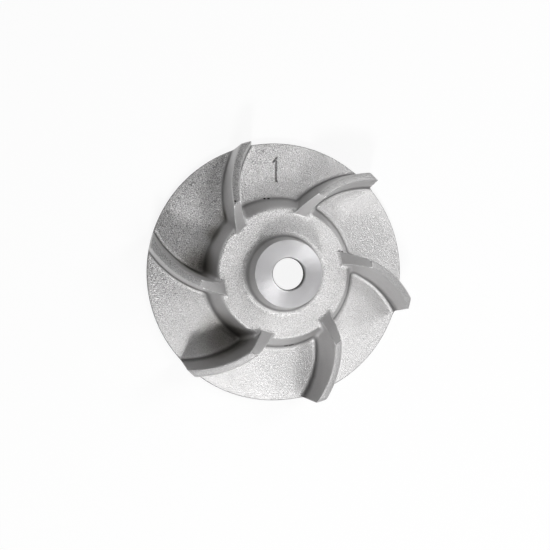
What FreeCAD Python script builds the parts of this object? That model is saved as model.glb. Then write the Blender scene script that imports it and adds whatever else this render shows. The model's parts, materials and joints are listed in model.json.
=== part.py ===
import FreeCAD, Part
import math
import os

import Sketcher

# Semi-open centrifugal pump impeller, a one-piece light metal casting with six backswept vanes.
# Frame: the back face lies on z = 0 and the bore runs along +Z, towards the vanes.
# Lengths are in millimetres and angles in degrees.

SIZES = {
    # back disc, its front face rising a little towards the hub
    "disc_diameter": 104.0,
    "rim_thickness": 3.6,
    "floor_rise": 1.9,
    # hub and its flat ledge
    "hub_foot_diameter": 60.0,
    "shoulder_diameter": 51.0,
    "ledge_height": 19.4,
    "hub_foot_round": 3.0,
    "shoulder_round": 1.4,
    # boss with the turned seat
    "overall_height": 30.3,
    "seat_diameter": 25.4,
    "boss_foot_diameter": 28.6,
    "boss_foot_round": 3.0,
    # bore through the web under the seat
    "bore_diameter": 12.0,
    "bore_chamfer": 0.55,
    "web_thickness": 3.6,
    # vanes: arcs about centres on the Y axis, drafted on both sides
    "vane_count": 6,
    "camber_centre_distance": 36.35,
    "camber_radius": 37.27,
    "side_centre_offset": 0.82,
    "tip_thickness": 3.1,
    "convex_draft": 3.0,
    "concave_draft": 5.5,
    "eye_diameter": 64.8,
    "eye_height": 29.8,
    "tip_height": 20.7,
    "leading_foot_diameter": 46.0,
    "vane_root_round": 1.7,
    # hollow behind the hub
    "casting_wall": 4.0,
    "boss_wall": 4.2,
    "hollow_corner": 2.0,
    # broken edges of the casting
    "edge_break": 0.4,
    # how far a cutter or a blank runs past the finished metal
    "overrun": 2.0,
}

# Radii that the vanes, the blank and the cutters reach before the outside is turned to size
VANE_REACH = "(Sizes.disc_diameter / 2 + 2 * Sizes.overrun)"
BLANK_REACH = "(Sizes.disc_diameter / 2 + 3 * Sizes.overrun)"
CUTTER_REACH = "(Sizes.disc_diameter / 2 + 4 * Sizes.overrun)"
CUTTER_TOP = "(max(Sizes.overall_height; Sizes.eye_height) + 2 * Sizes.overrun)"

# Slopes of the turned surfaces, as rise over run
FLOOR_SLOPE = "(Sizes.floor_rise / (Sizes.disc_diameter / 2 - Sizes.hub_foot_diameter / 2))"
LEADING_SLOPE = ("((Sizes.eye_height - Sizes.ledge_height)"
                 " / (Sizes.eye_diameter / 2 - Sizes.leading_foot_diameter / 2))")
CREST_SLOPE = "((Sizes.eye_height - Sizes.tip_height) / (Sizes.disc_diameter / 2 - Sizes.eye_diameter / 2))"
HUB_FOOT_HEIGHT = "(Sizes.rim_thickness + Sizes.floor_rise)"
HUB_WALL_LEAN = (f"((Sizes.hub_foot_diameter - Sizes.shoulder_diameter) / 2"
                 f" / (Sizes.ledge_height - {HUB_FOOT_HEIGHT}))")

# Heights inside the hub, and the radius where its wall's inner side would reach the ledge's level
HOLLOW_TOP = "(Sizes.ledge_height - Sizes.casting_wall)"
WEB_BACK = "(Sizes.overall_height - Sizes.web_thickness)"
HOLLOW_SHOULDER = "(Sizes.shoulder_diameter / 2 - Sizes.casting_wall)"

# How closely a found edge or axis has to lie to its place, in millimetres or as a share of a unit vector
CLOSE = 1e-3

doc = FreeCAD.newDocument("pump_impeller")
sheet = doc.addObject("Spreadsheet::Sheet", "Sizes")
for row, (size, number) in enumerate(SIZES.items(), start=1):
    sheet.set(f"A{row}", size)
    sheet.set(f"B{row}", str(number))
    sheet.setAlias(f"B{row}", size)
doc.recompute()

body = doc.addObject("PartDesign::Body", "impeller")
body.Label = "impeller"


def value_of(expression):
    """The number that an expression on the sheet gives."""
    return float(sheet.evalExpression(expression))


def origin_part(role):
    return next(feature for feature in body.Origin.OriginFeatures if feature.Role == role)


def new_sketch(name, plane):
    sketch = body.newObject("Sketcher::SketchObject", name)
    sketch.AttachmentSupport = [(origin_part(plane), "")]
    sketch.MapMode = "FlatFace"
    return sketch


def tie(sketch, kind, *places, by):
    """Adds a dimension to a sketch and binds it to an expression on the sheet."""
    index = sketch.addConstraint(Sketcher.Constraint(kind, *places, value_of(by)))
    sketch.setExpression(f"Constraints[{index}]", by)


def rounding(before, corner, after, radius):
    """The arc that rounds a corner of an outline, and whether it runs backwards along the outline."""
    back = (before - corner).normalize()
    ahead = (after - corner).normalize()
    half_angle = back.getAngle(ahead) / 2
    centre = corner + (back + ahead).normalize() * (radius / math.sin(half_angle))
    ends = [corner + way * (radius / math.tan(half_angle)) for way in (back, ahead)]
    backwards = back.cross(ahead).z > 0
    if backwards:
        ends.reverse()
    circle = Part.Circle(centre, FreeCAD.Vector(0, 0, 1), radius)
    return Part.ArcOfCircle(circle, *(circle.parameter(end) for end in ends)), backwards


def section(name, corners):
    """
    A closed outline on the XZ plane, drawn anticlockwise.

    A corner is a radius and a height, and a third value rounds it.
    """
    sketch = new_sketch(name, "XZ_Plane")
    spots = [FreeCAD.Vector(value_of(corner[0]), value_of(corner[1]), 0) for corner in corners]
    for start, end in zip(spots, spots[1:] + spots[:1]):
        sketch.addGeometry(Part.LineSegment(start, end), False)
    for line, corner in enumerate(corners):
        previous = (line - 1) % len(corners)
        following = (line + 1) % len(corners)
        if len(corner) == 3:
            arc, backwards = rounding(spots[previous], spots[line], spots[following], value_of(corner[2]))
            arc_start, arc_end = (2, 1) if backwards else (1, 2)
            place = (sketch.addGeometry(Part.Point(spots[line]), True), 1)
            bend = sketch.addGeometry(arc, False)
            sketch.addConstraint(Sketcher.Constraint("PointOnObject", *place, previous))
            sketch.addConstraint(Sketcher.Constraint("PointOnObject", *place, line))
            sketch.addConstraint(Sketcher.Constraint("Tangent", previous, 2, bend, arc_start))
            sketch.addConstraint(Sketcher.Constraint("Tangent", bend, arc_end, line, 1))
            tie(sketch, "Radius", bend, by=corner[2])
        else:
            place = (line, 1)
            sketch.addConstraint(Sketcher.Constraint("Coincident", previous, 2, line, 1))
        tie(sketch, "DistanceX", -1, 1, *place, by=corner[0])
        tie(sketch, "DistanceY", -1, 1, *place, by=corner[1])
    return sketch


def turned(kind, name, corners):
    """A full turn of a section about the bore's axis, added as a Revolution or cut as a Groove."""
    profile = section(f"{name}_section", corners)
    volume_before = body.Shape.Volume
    feature = body.newObject(f"PartDesign::{kind}", name)
    feature.Profile = profile
    feature.ReferenceAxis = (origin_part("Z_Axis"), [""])
    feature.Angle = 360
    doc.recompute()
    if (body.Shape.Volume < volume_before) != (kind == "Groove"):
        raise RuntimeError(f"{name} didn't change the casting as a {kind} should")


def dressed(kind, name, test, size):
    """A Fillet or a Chamfer on the edges of the body that pass a test."""
    base = body.Tip
    edges = edges_where(test)
    feature = body.newObject(f"PartDesign::{kind}", name)
    feature.Base = (base, edges)
    feature.setExpression("Radius" if kind == "Fillet" else "Size", size)
    doc.recompute()


def edges_where(test):
    """Names of the body's edges that pass a test on the edge and its middle's radius and height."""
    found = []
    for index, edge in enumerate(body.Tip.Shape.Edges, start=1):
        middle = edge.valueAt((edge.FirstParameter + edge.LastParameter) / 2)
        if test(edge, math.hypot(middle.x, middle.y), middle.z):
            found.append(f"Edge{index}")
    return found


def turned_face(face):
    """True on a face that is turned about the bore's axis."""
    surface = face.Surface
    if isinstance(surface, Part.Plane):
        return abs(abs(surface.Axis.z) - 1) < CLOSE
    if not hasattr(surface, "Axis"):
        return False
    centre = surface.Apex if isinstance(surface, Part.Cone) else surface.Center
    return abs(abs(surface.Axis.z) - 1) < CLOSE and math.hypot(centre.x, centre.y) < CLOSE


def on_vane_top(radius, height):
    """True on the turned surfaces of the vanes' tops and leading faces."""
    past_eye = radius - value_of("Sizes.eye_diameter / 2")
    fall = value_of(CREST_SLOPE) * past_eye if past_eye > 0 else -value_of(LEADING_SLOPE) * past_eye
    return abs(value_of("Sizes.eye_height") - fall - height) < CLOSE


def leading_foot(edge, radius, height):
    """True where a vane's leading face stands on the ledge."""
    return (isinstance(edge.Curve, Part.Circle)
            and abs(radius - value_of("Sizes.leading_foot_diameter / 2")) < CLOSE
            and abs(height - value_of("Sizes.ledge_height")) < CLOSE)


def vane_root(edge, radius, height):
    """True where a vane's side or leading face stands on the hub or the disc."""
    if radius > value_of("Sizes.disc_diameter / 2 + Sizes.overrun"):
        return False
    faces = body.Tip.Shape.ancestorsOfType(edge, Part.Face)
    if all(turned_face(face) for face in faces):
        return leading_foot(edge, radius, height)
    return any(turned_face(face) for face in faces) and not on_vane_top(radius, height)


def outer_edge(edge, radius, height):
    """True on the edges of the rim, of the vanes' tips and tops, and above each leading face."""
    on_outside = abs(radius - value_of("Sizes.disc_diameter / 2")) < CLOSE
    past_eye = radius > value_of("Sizes.eye_diameter / 2") - CLOSE
    return on_outside or (on_vane_top(radius, height) and past_eye)


def vane_outline(name, height):
    """
    A vane's outline at one height: two arcs, from inside the hub to past the rim, and two straight ends.

    Each side leans in towards the top by its own draft. The two arcs' centres lie a little apart on the
    Y axis, so that the vane gets thicker from the eye to the tip.
    """
    sketch = new_sketch(name, "XY_Plane")
    sketch.setExpression("AttachmentOffset.Base.z", height)
    reaches = (VANE_REACH, "(Sizes.leading_foot_diameter / 2 - Sizes.overrun)")
    below_tip = f"(Sizes.tip_height - ({height}))"
    sides = [
        ("(Sizes.camber_centre_distance - Sizes.side_centre_offset)",
         f"(Sizes.camber_radius + Sizes.tip_thickness / 2 + {below_tip} * tan(Sizes.convex_draft * 1 deg))"),
        ("(Sizes.camber_centre_distance + Sizes.side_centre_offset)",
         f"(Sizes.camber_radius - Sizes.tip_thickness / 2 - {below_tip} * tan(Sizes.concave_draft * 1 deg))"),
    ]
    corners = []
    for arc, (centre, radius) in enumerate(sides):
        middle = FreeCAD.Vector(0, value_of(centre), 0)
        circle = Part.Circle(middle, FreeCAD.Vector(0, 0, 1), value_of(radius))
        ends = [f"({reach}^2 + {centre}^2 - {radius}^2) / (2 * {centre})" for reach in reaches]
        angles = [math.pi - math.asin((value_of(end) - middle.y) / circle.Radius) for end in ends]
        sketch.addGeometry(Part.ArcOfCircle(circle, *angles), False)
        sketch.addConstraint(Sketcher.Constraint("PointOnObject", arc, 3, -2))
        tie(sketch, "DistanceY", -1, 1, arc, 3, by=centre)
        tie(sketch, "Radius", arc, by=radius)
        for point, end in enumerate(ends, start=1):
            tie(sketch, "DistanceY", -1, 1, arc, point, by=end)
        corners.append([circle.value(angle) for angle in angles])
    for point, (convex, concave) in enumerate(zip(*corners), start=1):
        line = sketch.addGeometry(Part.LineSegment(convex, concave), False)
        sketch.addConstraint(Sketcher.Constraint("Coincident", 0, point, line, 1))
        sketch.addConstraint(Sketcher.Constraint("Coincident", 1, point, line, 2))
    return sketch


# One vane, lofted between two outlines and trimmed to the cones of its leading face and its top
vane = body.newObject("PartDesign::AdditiveLoft", "vane")
vane.Profile = vane_outline("vane_foot", "Sizes.rim_thickness / 2")
vane.Sections = [vane_outline("vane_crest", "Sizes.eye_height + Sizes.overrun")]
vane.Ruled = True
doc.recompute()

turned("Groove", "vane_trim", [
    ("0", f"Sizes.ledge_height - {LEADING_SLOPE} * Sizes.leading_foot_diameter / 2"),
    ("Sizes.eye_diameter / 2", "Sizes.eye_height"),
    (CUTTER_REACH, f"Sizes.eye_height - {CREST_SLOPE} * ({CUTTER_REACH} - Sizes.eye_diameter / 2)"),
    (CUTTER_REACH, CUTTER_TOP),
    ("0", CUTTER_TOP),
])

# All the vanes, spread evenly about the bore
vanes = body.newObject("PartDesign::PolarPattern", "vanes")
vanes.TransformMode = "Whole shape"
vanes.Axis = (origin_part("Z_Axis"), [""])
vanes.Angle = 360
vanes.setExpression("Occurrences", "Sizes.vane_count")
body.Tip = vanes
doc.recompute()

# Disc, hub and boss as one turned blank, the disc a little larger than its finished size
turned("Revolution", "blank", [
    ("0", "0"),
    (BLANK_REACH, "0"),
    (BLANK_REACH, f"{HUB_FOOT_HEIGHT} - {FLOOR_SLOPE} * ({BLANK_REACH} - Sizes.hub_foot_diameter / 2)"),
    ("Sizes.hub_foot_diameter / 2", HUB_FOOT_HEIGHT, "Sizes.hub_foot_round"),
    ("Sizes.shoulder_diameter / 2", "Sizes.ledge_height", "Sizes.shoulder_round"),
    ("Sizes.boss_foot_diameter / 2", "Sizes.ledge_height", "Sizes.boss_foot_round"),
    ("Sizes.seat_diameter / 2", "Sizes.overall_height"),
    ("0", "Sizes.overall_height"),
])
dressed("Fillet", "vane_root_fillet", vane_root, "Sizes.vane_root_round")

# The rim and the vanes' tips are turned to the same diameter
turned("Groove", "outside_cut", [
    ("Sizes.disc_diameter / 2", "-Sizes.overrun"),
    (CUTTER_REACH, "-Sizes.overrun"),
    (CUTTER_REACH, CUTTER_TOP),
    ("Sizes.disc_diameter / 2", CUTTER_TOP),
])
dressed("Chamfer", "outer_edge_break", outer_edge, "Sizes.edge_break")

# The hub is hollow from behind, its wall following the front
turned("Groove", "hub_hollow", [
    ("0", "-Sizes.overrun"),
    (f"{HOLLOW_SHOULDER} + (Sizes.ledge_height + Sizes.overrun) * {HUB_WALL_LEAN}", "-Sizes.overrun"),
    (f"{HOLLOW_SHOULDER} + (Sizes.casting_wall + Sizes.hollow_corner) * {HUB_WALL_LEAN}",
     f"{HOLLOW_TOP} - Sizes.hollow_corner"),
    (f"{HOLLOW_SHOULDER} + Sizes.casting_wall * {HUB_WALL_LEAN} - Sizes.hollow_corner", HOLLOW_TOP),
    ("Sizes.boss_foot_diameter / 2 - Sizes.boss_wall", HOLLOW_TOP),
    ("Sizes.seat_diameter / 2 - Sizes.boss_wall", WEB_BACK),
    ("0", WEB_BACK),
])

# Bore through the web, with its chamfered mouth in the seat
turned("Groove", "bore", [
    ("0", f"{WEB_BACK} - Sizes.overrun"),
    ("Sizes.bore_diameter / 2", f"{WEB_BACK} - Sizes.overrun"),
    ("Sizes.bore_diameter / 2", "Sizes.overall_height - Sizes.bore_chamfer"),
    ("Sizes.bore_diameter / 2 + Sizes.bore_chamfer", "Sizes.overall_height"),
    ("Sizes.bore_diameter / 2 + Sizes.bore_chamfer", CUTTER_TOP),
    ("0", CUTTER_TOP),
])

for feature in doc.Objects:
    if {"Invalid", "Error"} & set(feature.State):
        raise RuntimeError(f"{feature.Name} failed: {feature.State}")
casting = body.Shape
if casting.isNull() or not casting.isValid() or len(casting.Solids) != 1:
    raise RuntimeError("the casting isn't one valid solid")

os.makedirs("parts", exist_ok=True)
casting.exportStep(f"parts/{body.Label}.step")
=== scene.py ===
import json
import math

import bmesh
import bpy
from mathutils import Euler, Matrix, Vector


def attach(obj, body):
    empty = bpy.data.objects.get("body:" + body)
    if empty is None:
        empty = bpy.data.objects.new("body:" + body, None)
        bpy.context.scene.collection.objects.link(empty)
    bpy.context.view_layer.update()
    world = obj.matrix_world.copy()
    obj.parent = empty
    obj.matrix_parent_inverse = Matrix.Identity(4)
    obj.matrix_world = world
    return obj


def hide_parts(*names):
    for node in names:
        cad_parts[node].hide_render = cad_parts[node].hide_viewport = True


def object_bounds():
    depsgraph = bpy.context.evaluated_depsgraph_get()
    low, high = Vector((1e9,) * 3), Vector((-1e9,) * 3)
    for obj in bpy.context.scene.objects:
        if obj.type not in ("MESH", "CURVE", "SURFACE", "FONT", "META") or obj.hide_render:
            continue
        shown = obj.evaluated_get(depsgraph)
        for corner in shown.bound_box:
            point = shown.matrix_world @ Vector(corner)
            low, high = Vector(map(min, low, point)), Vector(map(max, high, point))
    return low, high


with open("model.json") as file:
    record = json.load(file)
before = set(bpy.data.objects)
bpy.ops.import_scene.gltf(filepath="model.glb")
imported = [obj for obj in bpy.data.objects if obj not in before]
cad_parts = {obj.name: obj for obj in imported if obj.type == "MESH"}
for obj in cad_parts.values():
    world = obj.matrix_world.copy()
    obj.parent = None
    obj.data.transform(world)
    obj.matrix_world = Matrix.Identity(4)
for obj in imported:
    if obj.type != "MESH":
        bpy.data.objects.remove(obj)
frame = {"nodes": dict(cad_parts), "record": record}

# A cast pump impeller lying on its back face on white paper, seen from above.
# Metres, in the frame of the solid: +Z up the bore, the back face on z = 0.

MM = 0.001
cad_low, cad_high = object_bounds()
CASTING = frame["nodes"]["impeller"]
MOUNTS = {mount["name"]: mount for mount in frame["record"]["mounts"]}

DISC_RADIUS = cad_high.x
SEAT_HEIGHT = cad_high.z
BORE_RADIUS = MOUNTS["bore"]["dims"]["r_mm"] * MM
CHAMFER_DEPTH = 0.55 * MM
RIM_HEIGHT = 3.6 * MM
EYE_RADIUS = 32.3 * MM
LEADING_LOW = 20.6 * MM
LEADING_HIGH = 29.6 * MM
EDGE_SOFTNESS = 0.35 * MM

# The disc's front face, in millimetres: its height at the hub's foot and its fall towards the rim
HUB_FOOT_RADIUS = 30.0
DISC_FLOOR_HEIGHT = 5.5
DISC_FLOOR_SLOPE = 1.9 / 22.0

# A patch of the skin ends where it turns by more than the ridge angle, and an edge's break is narrower
# than every other patch. Past the sharp angle an edge stays sharp in the shading.
RIDGE_ANGLE = math.radians(25)
SHARP_ANGLE = math.radians(60)
EDGE_BREAK_WIDTH = 0.68 * MM
VANE_EDGES_FROM = 6.0 * MM
LEADING_EDGE_ANGLE = math.radians(55)

# How far below the seat the bore's wall reaches, how flat the seat is, and how close two corners are the same
BORE_WALL_DEPTH = 4.0 * MM
SEAT_FLATNESS = 0.01 * MM
SAME_CORNER = 0.001 * MM

# The four finishes, in the order of the casting's materials; the last is near-black painted shade for the
# bore's wall and the pits
CAST, TURNED, EDGE, BORE_SHADE = range(4)

# The shot-blasted skin: its tone, its grains to the metre and how deep they are
CASTING_TONE = 0.51
# The number's skin is the casting's skin made darker: painted shade for the shaded flanks of its strokes.
NUMBER_SHADE_TONE = 0.28
GRAIN = 3000.0
GRAIN_DEPTH = 0.16 * MM
EDGE_GRAIN_DEPTH = 0.12 * MM

# How strongly the skin's tone follows its fine grain, its coarse grain and a slow cloudiness
FINE_SPECKLE = 0.9
COARSE_SPECKLE = 0.2
CLOUDINESS = 0.16
CLOUD_SCALE = 60.0

# The grain's share: what is left on a steep side and lost on a crest, then what every place has, what the
# coarse side adds and what is added from the ledge up
STEEP_SHARE = 0.12
CREST_SHARE_LOST = 0.5
COMMON_SHARE = 0.35
COARSE_SHARE = 0.85
LEDGE_SHARE = 0.3

# The edge breaks, peened lighter and with a painted highlight: their tone, how much the painted highlight
# adds on the highest ones, and how it follows wear and fine grain
EDGE_TONE = 0.55
HIGHLIGHT_GAIN = 0.3
WEAR_SPECKLE = 0.5
EDGE_SPECKLE = 0.2

# The turned seat: the tool's feed, how far its rings lean, and a slower wave over them
TOOL_FEED = 0.13 * MM
RING_LEAN = 0.17
WAVE_LEAN = 0.10
WAVE_SHARE = 0.37
TURNED_COLOUR = (0.50, 0.495, 0.505, 1.0)

# How upright the skin's normal is where the shot strikes it square, and where a side counts as steep
STRUCK = (0.72, 0.87)
STEEP = (0.55, 0.97)

# The heights and radii over which the skin changes
HUB_CORNER_LEVEL = (5.0 * MM, 11.0 * MM)
BOSS_CORNER_LEVEL = (19.0 * MM, 24.0 * MM)
BOSS_CORNER_RADIUS = (17.0 * MM, 20.0 * MM)
LEDGE_LEVEL = (17.0 * MM, 19.0 * MM)
CREST_LEVEL = (19.6 * MM, 20.4 * MM)
CREST_RADIUS = (26.0 * MM, 28.0 * MM)
HIGHLIGHT_LEVEL = (28.4 * MM, 29.2 * MM)

# Painted shade, where the skin is darker: how much of its tone the corners, the vanes' crests and the patches
# of painted shade lose, the share of its reach where a patch is full, and its middles and reach in
# millimetres
CORNER_SHADE_LOSS = 0.55
CREST_SHADE_LOSS = 0.28
PAINTED_SHADE_LOSS = 0.55
PAINTED_SHADE_CORE = 0.15
PAINTED_SHADE_PATCHES = [
    ((-5.5, -32.5, 7.0), 14.5),
    ((-29.0, -14.0, 7.0), 11.0),
    ((-29.5, 1.0, 7.0), 5.5),
    ((-28.0, 10.5, 7.0), 6.0),
]

# Casting pits, in millimetres and degrees: the place, the half sizes and the turn about the bore
PITS = [
    ((-30.7, 13.65, 29.3), (0.55, 0.35, 0.4), 20.0),
    ((-19.25, 23.1, 6.3), (0.55, 0.45, 0.6), 0.0),
    ((-17.9, 23.85, 6.6), (0.7, 0.4, 0.6), 20.0),
    ((16.0, 18.7, 19.8), (0.45, 0.35, 0.35), 0.0),
    ((17.3, -24.05, 6.9), (0.95, 0.3, 0.6), 35.0),
    ((19.0, -22.75, 6.9), (1.2, 0.35, 0.6), 40.0),
]

# The number's strokes as points on the disc, in millimetres
STROKES = [
    [(-22.67, 40.43), (-22.75, 39.6), (-23.07, 37.75)],
    [(-22.15, 38.95), (-20.3, 35.4), (-18.40, 31.83), (-17.75, 31.9)],
]
STROKE_HALF_WIDTH = 0.33 * MM
STROKE_RISE = 0.22 * MM

# The side of the picture where the skin is coarser, and how far out it gets so
COARSE_SIDE = (-0.80, 0.60, 0.0)
COARSE_REACH = (5.0 * MM, 45.0 * MM)

# The white paper round the casting: how far it shows plain white where it is seen or mirrored, the floor's
# half width and the backdrop's radius, height and sides
PAPER_GLOW = 0.9
FLOOR_REACH = 6.0
BACKDROP_RADIUS = 5.0
BACKDROP_HEIGHT = 3.0
BACKDROP_SIDES = 64

# The soft boxes: name, bearing in the picture and height in degrees, side in metres and power in watts
LAMP_DISTANCE = 0.9
LAMPS = [
    ("key", 257.0, 50.0, 0.12, 4.9),
    ("right", 28.0, 40.0, 0.26, 2.6),
    ("near_right", 303.0, 50.0, 0.4, 1.6),
    ("high", 335.0, 62.0, 0.25, 0.5),
    ("high_right", 28.0, 64.0, 0.2, 1.6),
]
WORLD_LIGHT = 0.02

# The photograph's camera: its picture is turned about the bore against the solid's frame
PICTURE_TURN = math.radians(29.3)
CAMERA_TILT = Vector((0.0255, 0.1695, 0.0))
CAMERA_DISTANCE = 6.350 * DISC_RADIUS
CAMERA_SIDESTEP = Vector((-0.0132, -0.0201)) * DISC_RADIUS
LENS_MM = 53.43
SENSOR_MM = 36.0


def in_picture(vector):
    """Turns a vector of the picture's frame, x right, y up and z towards the viewer, into the solid's."""
    return Matrix.Rotation(PICTURE_TURN, 3, "Z") @ Vector(vector)


def make_camera():
    """The camera looks down on the vanes from a little to the left of the bore's axis."""
    tilt = Matrix.Rotation(CAMERA_TILT.length, 3, CAMERA_TILT.normalized()).transposed()
    axes = Matrix.Rotation(PICTURE_TURN, 3, "Z") @ tilt
    place = axes @ Vector((CAMERA_SIDESTEP.x, CAMERA_SIDESTEP.y, CAMERA_DISTANCE))
    lens = bpy.data.cameras.new("camera")
    lens.lens = LENS_MM
    lens.sensor_width = SENSOR_MM
    lens.clip_start = 0.01
    lens.clip_end = 10.0
    camera = bpy.data.objects.new("camera", lens)
    camera.matrix_world = Matrix.Translation(place + Vector((0, 0, RIM_HEIGHT))) @ axes.to_4x4()
    bpy.context.scene.collection.objects.link(camera)
    bpy.context.scene.camera = camera


class Socket:
    """A shader value that arithmetic works on: each operation adds its Math node."""

    def __init__(self, shader, output):
        self.shader = shader
        self.output = output

    def maths(self, operation, *values):
        return self.shader.node("ShaderNodeMath", {"operation": operation}, *values)

    def __add__(self, other):
        return self.maths("ADD", self, other)

    def __sub__(self, other):
        return self.maths("SUBTRACT", self, other)

    def __mul__(self, other):
        return self.maths("MULTIPLY", self, other)

    def __rsub__(self, other):
        return self.maths("SUBTRACT", other, self)

    __radd__ = __add__
    __rmul__ = __mul__

    def sine(self):
        return self.maths("SINE", self)

    def at_most(self, other):
        return self.maths("MINIMUM", self, other)

    def between(self, low, high):
        """0 below low, 1 above high and a smooth rise from one to the other."""
        return self.shader.node("ShaderNodeMapRange", {"interpolation_type": "SMOOTHSTEP"},
                                self, low, high, 0.0, 1.0)


class Shader:
    """A material's node tree."""

    def __init__(self, name):
        self.material = bpy.data.materials.new(name)
        self.material.use_nodes = True
        self.tree = self.material.node_tree
        self.tree.nodes.clear()

    def node(self, kind, settings=None, *values, output=0, **named):
        """Adds a node: its settings first, then its inputs by place or by name. Gives one output."""
        made = self.tree.nodes.new(kind)
        for setting, value in (settings or {}).items():
            setattr(made, setting, value)
        for place, value in list(enumerate(values)) + list(named.items()):
            name = place.replace("_", " ") if isinstance(place, str) else place
            if isinstance(value, Socket):
                self.tree.links.new(value.output, made.inputs[name])
            else:
                made.inputs[name].default_value = value
        return Socket(self, made.outputs[output])

    def finish(self, surface):
        last = self.tree.nodes.new("ShaderNodeOutputMaterial")
        self.tree.links.new(surface.output, last.inputs["Surface"])
        return self.material


def grain_of(shader, place):
    """The fine and the coarse grain that shot leaves, each about 0.5."""
    fine = shader.node("ShaderNodeTexNoise", None, place, Scale=GRAIN, Detail=0.0, Roughness=0.5)
    coarse = shader.node("ShaderNodeTexNoise", None, place, Scale=GRAIN * 0.5, Detail=1.0, Roughness=0.5)
    return fine, coarse


def painted_shade_of(shader, place):
    """1 in the middle of a patch of painted shade between a vane's back and the hub, 0 outside it."""
    total = 0.0
    for spot, reach in PAINTED_SHADE_PATCHES:
        away = shader.node("ShaderNodeVectorMath", {"operation": "DISTANCE"}, place, Vector(spot) * MM,
                           output="Value")
        total = (1.0 - away.between(PAINTED_SHADE_CORE * reach * MM, reach * MM)) + total
    return total.at_most(1.0)


def cast_skin(name, brightness):
    """Shot-blasted cast aluminium: grainy where the shot struck square, smoother on the steep sides."""
    shader = Shader(name)
    place = shader.node("ShaderNodeTexCoord", output="Object")
    facing = shader.node("ShaderNodeTexCoord", output="Normal")
    upright = shader.node("ShaderNodeSeparateXYZ", None, facing, output="Z")
    level = shader.node("ShaderNodeSeparateXYZ", None, place, output="Z")
    flat = shader.node("ShaderNodeVectorMath", {"operation": "MULTIPLY"}, place, (1.0, 1.0, 0.0))
    radius = shader.node("ShaderNodeVectorMath", {"operation": "LENGTH"}, flat, output="Value")
    struck = upright.between(*STRUCK)
    steep = 1.0 - upright.between(*STEEP)
    # Painted shade: the feet of the steep walls at the hub and at the boss are darkened.
    hub_corner = 1.0 - level.between(*HUB_CORNER_LEVEL)
    boss_corner = (1.0 - level.between(*BOSS_CORNER_LEVEL)) * (1.0 - radius.between(*BOSS_CORNER_RADIUS))
    corner_shade = steep * (hub_corner + boss_corner).at_most(1.0)
    # The vanes' crests, which lose some grain and take a painted shade.
    crest = level.between(*CREST_LEVEL) * radius.between(*CREST_RADIUS) * struck
    fine, coarse = grain_of(shader, place)
    cloud = shader.node("ShaderNodeTexNoise", None, place, Scale=CLOUD_SCALE, Detail=3.0, Roughness=0.55)
    side = shader.node("ShaderNodeVectorMath", {"operation": "DOT_PRODUCT"}, place, in_picture(COARSE_SIDE),
                       output="Value")
    amount = STEEP_SHARE + (1.0 - STEEP_SHARE) * struck
    bump = shader.node("ShaderNodeBump", None, Strength=1.0, Distance=GRAIN_DEPTH, Height=fine * amount)
    contrast = (amount * (1.0 - CREST_SHARE_LOST * crest)
                * (COMMON_SHARE + COARSE_SHARE * side.between(*COARSE_REACH)
                   + LEDGE_SHARE * level.between(*LEDGE_LEVEL)))
    speckle = (((fine - 0.5) * FINE_SPECKLE + (coarse - 0.5) * COARSE_SPECKLE) * contrast
               + (cloud - 0.5) * CLOUDINESS)
    # Patches of painted shade between the vanes' backs and the hub, tinted a little brown.
    painted_shade = painted_shade_of(shader, place)
    tone = ((brightness + speckle) * (1.0 - CORNER_SHADE_LOSS * corner_shade) * (1.0 - CREST_SHADE_LOSS * crest)
            * (1.0 - PAINTED_SHADE_LOSS * painted_shade))
    colour = shader.node("ShaderNodeCombineColor", None, tone * (1.0 + 0.03 * painted_shade), tone * 0.99,
                         tone * (0.99 - 0.06 * painted_shade))
    rough = 0.53 + (coarse - 0.5) * 0.3
    metal = shader.node("ShaderNodeBsdfPrincipled", None, Base_Color=colour, Metallic=0.85, Roughness=rough,
                        Normal=bump)
    return shader.finish(metal)


def edge_skin():
    """The narrow breaks along the vanes' edges, peened lighter by the shot and given a painted highlight."""
    shader = Shader("edge_skin")
    place = shader.node("ShaderNodeTexCoord", output="Object")
    wear = shader.node("ShaderNodeTexNoise", None, place, Scale=420.0, Detail=3.0, Roughness=0.6)
    fine, coarse = grain_of(shader, place)
    level = shader.node("ShaderNodeSeparateXYZ", None, place, output="Z")
    # Painted highlight: the breaks are lighter, and the highest ones much lighter, as if catching the light.
    top_edge_highlight = level.between(*HIGHLIGHT_LEVEL)
    tone = EDGE_TONE + HIGHLIGHT_GAIN * top_edge_highlight + (wear - 0.5) * WEAR_SPECKLE + (fine - 0.5) * EDGE_SPECKLE
    colour = shader.node("ShaderNodeCombineColor", None, tone, tone, tone)
    bump = shader.node("ShaderNodeBump", None, Strength=1.0, Distance=EDGE_GRAIN_DEPTH, Height=coarse + wear)
    metal = shader.node("ShaderNodeBsdfPrincipled", None, Base_Color=colour, Metallic=0.6, Roughness=0.45,
                        Normal=bump)
    return shader.finish(metal)


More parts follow.
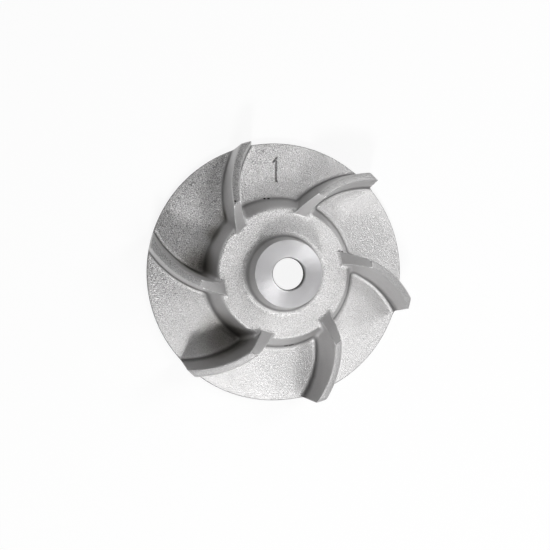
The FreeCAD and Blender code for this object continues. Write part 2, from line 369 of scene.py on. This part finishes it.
def turned_skin():
    """The seat and the bore's mouth, turned after casting: fine rings about the bore."""
    shader = Shader("turned_skin")
    place = shader.node("ShaderNodeTexCoord", output="Object")
    facing = shader.node("ShaderNodeTexCoord", output="Normal")
    flat = shader.node("ShaderNodeVectorMath", {"operation": "MULTIPLY"}, place, (1.0, 1.0, 0.0))
    radius = shader.node("ShaderNodeVectorMath", {"operation": "LENGTH"}, flat, output="Value")
    outward = shader.node("ShaderNodeVectorMath", {"operation": "NORMALIZE"}, flat)
    pitch = radius * (2 * math.pi / TOOL_FEED)
    lean = pitch.sine() * RING_LEAN + (pitch * WAVE_SHARE).sine() * WAVE_LEAN
    leaned = shader.node("ShaderNodeVectorMath", {"operation": "SCALE"}, outward, Scale=lean)
    normal = shader.node("ShaderNodeVectorMath", {"operation": "ADD"}, facing, leaned)
    straight = shader.node("ShaderNodeVectorMath", {"operation": "NORMALIZE"}, normal)
    metal = shader.node("ShaderNodeBsdfPrincipled", None, Base_Color=TURNED_COLOUR, Metallic=0.7,
                        Roughness=0.3, Normal=straight)
    return shader.finish(metal)


def bore_skin():
    """The bore's wall, near black: painted shade for the deep bore."""
    shader = Shader("bore_skin")
    place = shader.node("ShaderNodeTexCoord", output="Object")
    painted_shade = shader.node("ShaderNodeTexNoise", None, place, Scale=300.0, Detail=2.0, Roughness=0.5)
    tone = 0.015 + painted_shade * 0.04
    colour = shader.node("ShaderNodeCombineColor", None, tone * 1.1, tone, tone * 0.9)
    metal = shader.node("ShaderNodeBsdfPrincipled", None, Base_Color=colour, Metallic=0.6, Roughness=0.6)
    return shader.finish(metal)


def distance_out(point):
    """How far a point lies from the bore's axis."""
    return math.hypot(point.x, point.y)


def smooth_patches(shape):
    """Groups of faces that no ridge or crease parts."""
    patches = []
    seen = set()
    for first in shape.faces:
        if first.index in seen:
            continue
        seen.add(first.index)
        patch = [first]
        for face in patch:
            for edge in face.edges:
                if len(edge.link_faces) == 2 and edge.calc_face_angle() < RIDGE_ANGLE:
                    for other in edge.link_faces:
                        if other.index not in seen:
                            seen.add(other.index)
                            patch.append(other)
        patches.append(patch)
    return patches


def patch_width(patch):
    """The mean width of a long narrow patch."""
    area = sum(face.calc_area() for face in patch)
    rim = sum(edge.calc_length() for face in patch for edge in face.edges
              if edge.calc_face_angle(math.pi) >= RIDGE_ANGLE)
    return 2 * area / max(rim, MM)


def soften_leading_edges(shape):
    """Rounds the two long edges of each vane's leading face."""
    sharp = []
    for edge in shape.edges:
        middle = (edge.verts[0].co + edge.verts[1].co) / 2
        if (len(edge.link_faces) == 2 and edge.calc_face_angle_signed() > LEADING_EDGE_ANGLE
                and LEADING_LOW < middle.z < LEADING_HIGH and distance_out(middle) < EYE_RADIUS):
            sharp.append(edge)
    bmesh.ops.bevel(shape, geom=sharp, offset=EDGE_SOFTNESS, segments=3, profile=0.5, affect="EDGES",
                    clamp_overlap=True, material=EDGE)


def pits():
    """Small casting pits, as a mesh to cut away: each is a place on the skin and its half sizes."""
    shape = bmesh.new()
    for place, size, turn in PITS:
        fit = Matrix.LocRotScale(Vector(place) * MM, Euler((0, 0, math.radians(turn))), Vector(size) * MM)
        bmesh.ops.create_icosphere(shape, subdivisions=2, radius=1.0, matrix=fit)
    # The pits take the bore's near-black skin: painted shade in their hollows.
    for face in shape.faces:
        face.material_index = BORE_SHADE
    mesh = bpy.data.meshes.new("pits")
    shape.to_mesh(mesh)
    shape.free()
    return bpy.data.objects.new("pits", mesh)


def finished(piece):
    """The piece with its modifiers made part of its mesh."""
    bpy.context.scene.collection.objects.link(piece)
    view = bpy.context.evaluated_depsgraph_get()
    mesh = bpy.data.meshes.new_from_object(piece.evaluated_get(view), depsgraph=view)
    piece.modifiers.clear()
    piece.data = mesh
    return piece


def made_casting():
    """The solid's mesh with its triangles joined, its sharp edges eased, its pits cut and four finishes."""
    mesh = CASTING.data.copy()
    mesh.name = "casting"
    mesh.materials.clear()
    for skin in (cast_skin("cast_skin", CASTING_TONE), turned_skin(), edge_skin(), bore_skin()):
        mesh.materials.append(skin)
    shape = bmesh.new()
    shape.from_mesh(mesh)
    bmesh.ops.remove_doubles(shape, verts=shape.verts, dist=SAME_CORNER)
    for face in shape.faces:
        face.material_index = CAST
    soften_leading_edges(shape)
    shape.faces.index_update()
    for patch in smooth_patches(shape):
        if patch_width(patch) < EDGE_BREAK_WIDTH and patch[0].calc_center_median().z > VANE_EDGES_FROM:
            for face in patch:
                face.material_index = EDGE
    for face in shape.faces:
        face.smooth = True
        middle = face.calc_center_median()
        if distance_out(middle) < BORE_RADIUS + CHAMFER_DEPTH and middle.z > SEAT_HEIGHT - BORE_WALL_DEPTH:
            face.material_index = TURNED if middle.z > SEAT_HEIGHT - CHAMFER_DEPTH else BORE_SHADE
        elif middle.z > SEAT_HEIGHT - SEAT_FLATNESS:
            face.material_index = TURNED
    for edge in shape.edges:
        edge.smooth = len(edge.link_faces) == 2 and edge.calc_face_angle() < SHARP_ANGLE
    shape.to_mesh(mesh)
    shape.free()
    piece = bpy.data.objects.new("casting", mesh)
    cutter = pits()
    bpy.context.scene.collection.objects.link(cutter)
    cut = piece.modifiers.new("pits", "BOOLEAN")
    cut.object = cutter
    cut.solver = "EXACT"
    weighted = piece.modifiers.new("flat faces", "WEIGHTED_NORMAL")
    weighted.keep_sharp = True
    finished(piece)
    bpy.data.objects.remove(cutter)
    return piece


def floor_height(x, y):
    """The height of the disc's front face, in millimetres."""
    return DISC_FLOOR_HEIGHT - (math.hypot(x, y) - HUB_FOOT_RADIUS) * DISC_FLOOR_SLOPE


def made_number():
    """The raised cavity number, a plain 1 of two strokes on the disc."""
    line = bpy.data.curves.new("cavity_number", "CURVE")
    line.dimensions = "3D"
    line.bevel_depth = STROKE_HALF_WIDTH
    line.bevel_resolution = 3
    line.use_fill_caps = True
    for stroke in STROKES:
        spline = line.splines.new("POLY")
        spline.points.add(len(stroke) - 1)
        for point, (x, y) in zip(spline.points, stroke):
            point.co = (x * MM, y * MM, floor_height(x, y) * MM + STROKE_RISE, 1.0)
    number = bpy.data.objects.new("cavity_number", line)
    # Its skin is the cast skin darkened as painted shade.
    line.materials.append(cast_skin("number_shaded_skin", NUMBER_SHADE_TONE))
    bpy.context.scene.collection.objects.link(number)
    view = bpy.context.evaluated_depsgraph_get()
    mesh = bpy.data.meshes.new_from_object(number.evaluated_get(view), depsgraph=view)
    bpy.data.objects.remove(number)
    for face in mesh.polygons:
        face.use_smooth = True
    piece = bpy.data.objects.new("cavity_number", mesh)
    bpy.context.scene.collection.objects.link(piece)
    return piece


def white_paper():
    """Paper that shows white to the eye and in the casting's reflections, and takes its soft shadow."""
    shader = Shader("white_paper")
    rays = shader.tree.nodes.new("ShaderNodeLightPath")
    seen = (Socket(shader, rays.outputs["Is Camera Ray"]) + Socket(shader, rays.outputs["Is Glossy Ray"])
            + Socket(shader, rays.outputs["Is Transmission Ray"])).at_most(1.0)
    matt = shader.node("ShaderNodeBsdfDiffuse", None, (0.8, 0.8, 0.8, 1.0))
    glow = shader.node("ShaderNodeEmission", None, (1.0, 1.0, 1.0, 1.0), 1.0)
    return shader.finish(shader.node("ShaderNodeMixShader", None, seen * PAPER_GLOW, matt, glow))


def make_paper():
    """The floor that the casting lies on and a round backdrop far behind it, open at the top."""
    reach = FLOOR_REACH
    floor = bpy.data.meshes.new("floor")
    floor.from_pydata([(-reach, -reach, 0), (reach, -reach, 0), (reach, reach, 0), (-reach, reach, 0)], [],
                      [(0, 1, 2, 3)])
    ring = [2 * math.pi * side / BACKDROP_SIDES for side in range(BACKDROP_SIDES)]
    backdrop = bpy.data.meshes.new("backdrop")
    backdrop.from_pydata(
        [(BACKDROP_RADIUS * math.cos(angle), BACKDROP_RADIUS * math.sin(angle), height)
         for height in (0.0, BACKDROP_HEIGHT) for angle in ring], [],
        [(side, BACKDROP_SIDES + side, BACKDROP_SIDES + (side + 1) % BACKDROP_SIDES,
          (side + 1) % BACKDROP_SIDES) for side in range(BACKDROP_SIDES)])
    paper = white_paper()
    for mesh in (floor, backdrop):
        mesh.materials.append(paper)
        sheet = bpy.data.objects.new(mesh.name, mesh)
        bpy.context.scene.collection.objects.link(sheet)


def make_world(strength):
    """A dim even light from all round, the same for every ray."""
    world = bpy.data.worlds.new("world")
    world.use_nodes = True
    bpy.context.scene.world = world
    tree = world.node_tree
    tree.nodes.clear()
    dim = tree.nodes.new("ShaderNodeBackground")
    dim.inputs["Color"].default_value = (1.0, 1.0, 1.0, 1.0)
    dim.inputs["Strength"].default_value = strength
    last = tree.nodes.new("ShaderNodeOutputWorld")
    tree.links.new(dim.outputs[0], last.inputs["Surface"])


def soft_box(name, bearing, height, side, power):
    """A lamp that faces the casting, at a bearing in the picture and a height above the floor, in degrees."""
    level = math.cos(math.radians(height))
    way = in_picture((math.cos(math.radians(bearing)) * level, math.sin(math.radians(bearing)) * level,
                      math.sin(math.radians(height))))
    lamp = bpy.data.lights.new(name, "AREA")
    lamp.shape = "RECTANGLE"
    lamp.size = side
    lamp.size_y = side
    lamp.energy = power
    light = bpy.data.objects.new(name, lamp)
    facing = way.to_track_quat("Z", "Y").to_matrix().to_4x4()
    light.matrix_world = Matrix.Translation(way * LAMP_DISTANCE) @ facing
    bpy.context.scene.collection.objects.link(light)


casting = made_casting()
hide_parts("impeller")
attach(casting, "root")

number = made_number()
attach(number, "root")

make_paper()
make_world(WORLD_LIGHT)
for lamp in LAMPS:
    soft_box(*lamp)
bpy.context.scene.view_settings.view_transform = "Standard"
make_camera()
